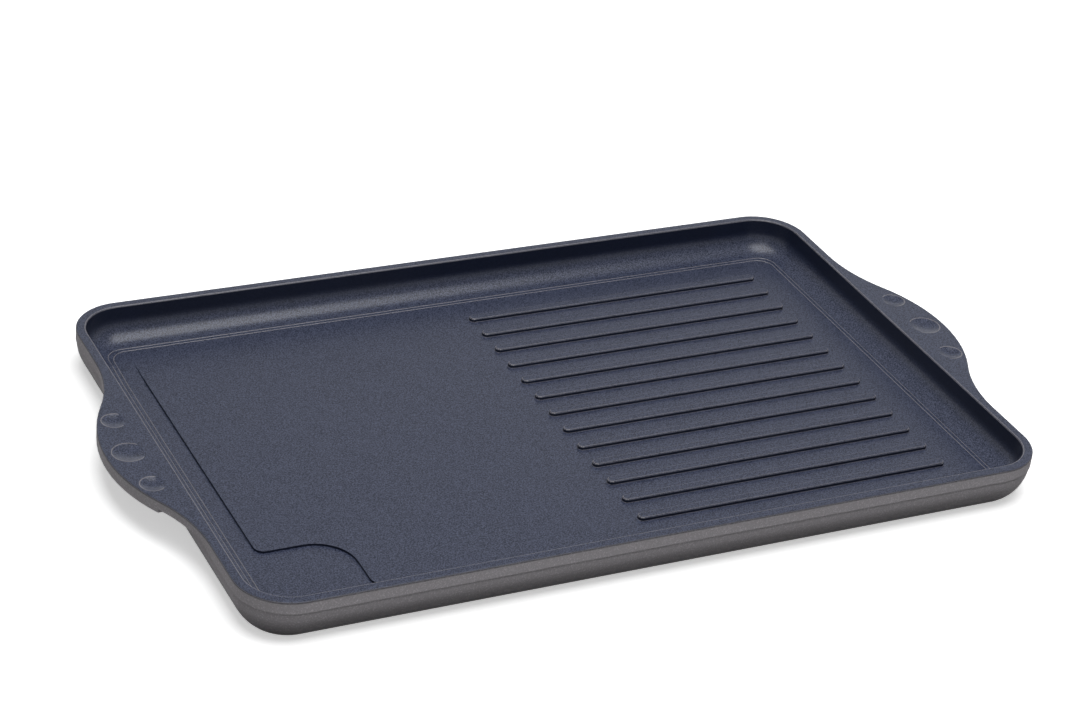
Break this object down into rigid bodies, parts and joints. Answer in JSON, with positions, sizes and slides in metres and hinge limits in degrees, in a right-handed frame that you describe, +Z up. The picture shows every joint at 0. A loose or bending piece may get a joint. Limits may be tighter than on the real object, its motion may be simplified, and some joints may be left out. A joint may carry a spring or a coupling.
{
  "type": "ridged griddle plate",
  "caption": "Low rectangular cast griddle plate with a flat half, a ribbed half, a drip channel to a corner reservoir and an integral ear at each end.",
  "frame": {"origin": "middle of the base pad's flat underside, where the plate rests", "axes": "+X along the length to the ribbed half, +Y to the back, -Y to the front with the reservoir at front left, +Z up"},
  "size_m": [0.4744, 0.282, 0.025],
  "materials": {
    "bare_aluminium": "as cast, with a turned base pad",
    "nonstick": "satin blue-black with a fine speckle",
    "lacquer": "matte warm grey with a fine grain"
  },
  "bodies": {
    "root": {"plate_casting": "bare_aluminium", "nonstick_coating": "nonstick", "outside_lacquer": "lacquer"}
  },
  "joints": []
}
